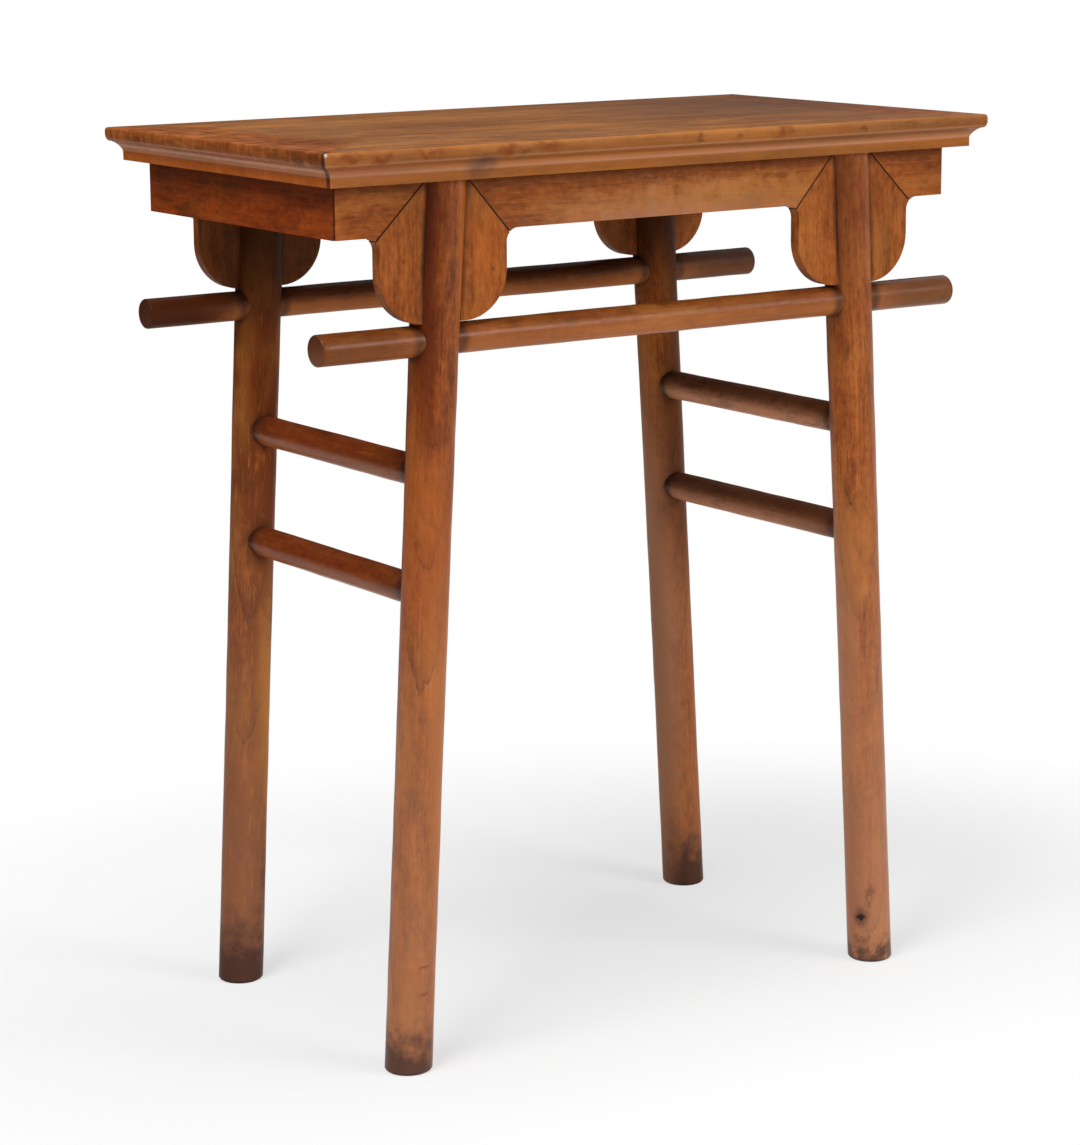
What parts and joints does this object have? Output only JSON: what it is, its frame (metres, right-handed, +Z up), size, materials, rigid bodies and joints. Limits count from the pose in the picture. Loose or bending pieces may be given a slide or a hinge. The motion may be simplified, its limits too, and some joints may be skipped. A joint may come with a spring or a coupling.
{
  "type": "wine table",
  "caption": "Small rectangular wooden side table with a moulded mitred top, recessed round leaning legs, plain spandrels, through stretchers and end rungs.",
  "frame": {"origin": "centre of the table's footprint, on the floor under the feet", "axes": "+Z up, +X along the length towards the right end, -Y towards the front long side"},
  "size_m": [0.74, 0.4, 0.84],
  "materials": {
    "top_wood": "old satin polish, worn at the moulded edge",
    "leg_wood": "old satin polish, darker at the feet",
    "board_wood": "old satin polish",
    "bar_wood": "old satin polish, rubbed smooth",
    "brace_wood": "unpolished"
  },
  "bodies": {
    "root": {"top_rail_front": "top_wood", "top_rail_back": "top_wood", "top_rail_left": "top_wood", "top_rail_right": "top_wood", "top_panel": "top_wood", "panel_brace_left": "brace_wood", "panel_brace_right": "brace_wood", "leg_front_left": "leg_wood", "leg_front_right": "leg_wood", "leg_back_left": "leg_wood", "leg_back_right": "leg_wood", "spandrel_front_left": "board_wood", "spandrel_front_right": "board_wood", "spandrel_back_left": "board_wood", "spandrel_back_right": "board_wood", "apron_front": "board_wood", "apron_back": "board_wood", "apron_end_front_left": "board_wood", "apron_end_front_right": "board_wood", "apron_end_back_left": "board_wood", "apron_end_back_right": "board_wood", "end_apron_left": "board_wood", "end_apron_right": "board_wood", "long_stretcher_front": "bar_wood", "long_stretcher_back": "bar_wood", "side_rung_left_upper": "bar_wood", "side_rung_left_lower": "bar_wood", "side_rung_right_upper": "bar_wood", "side_rung_right_lower": "bar_wood"}
  },
  "joints": []
}
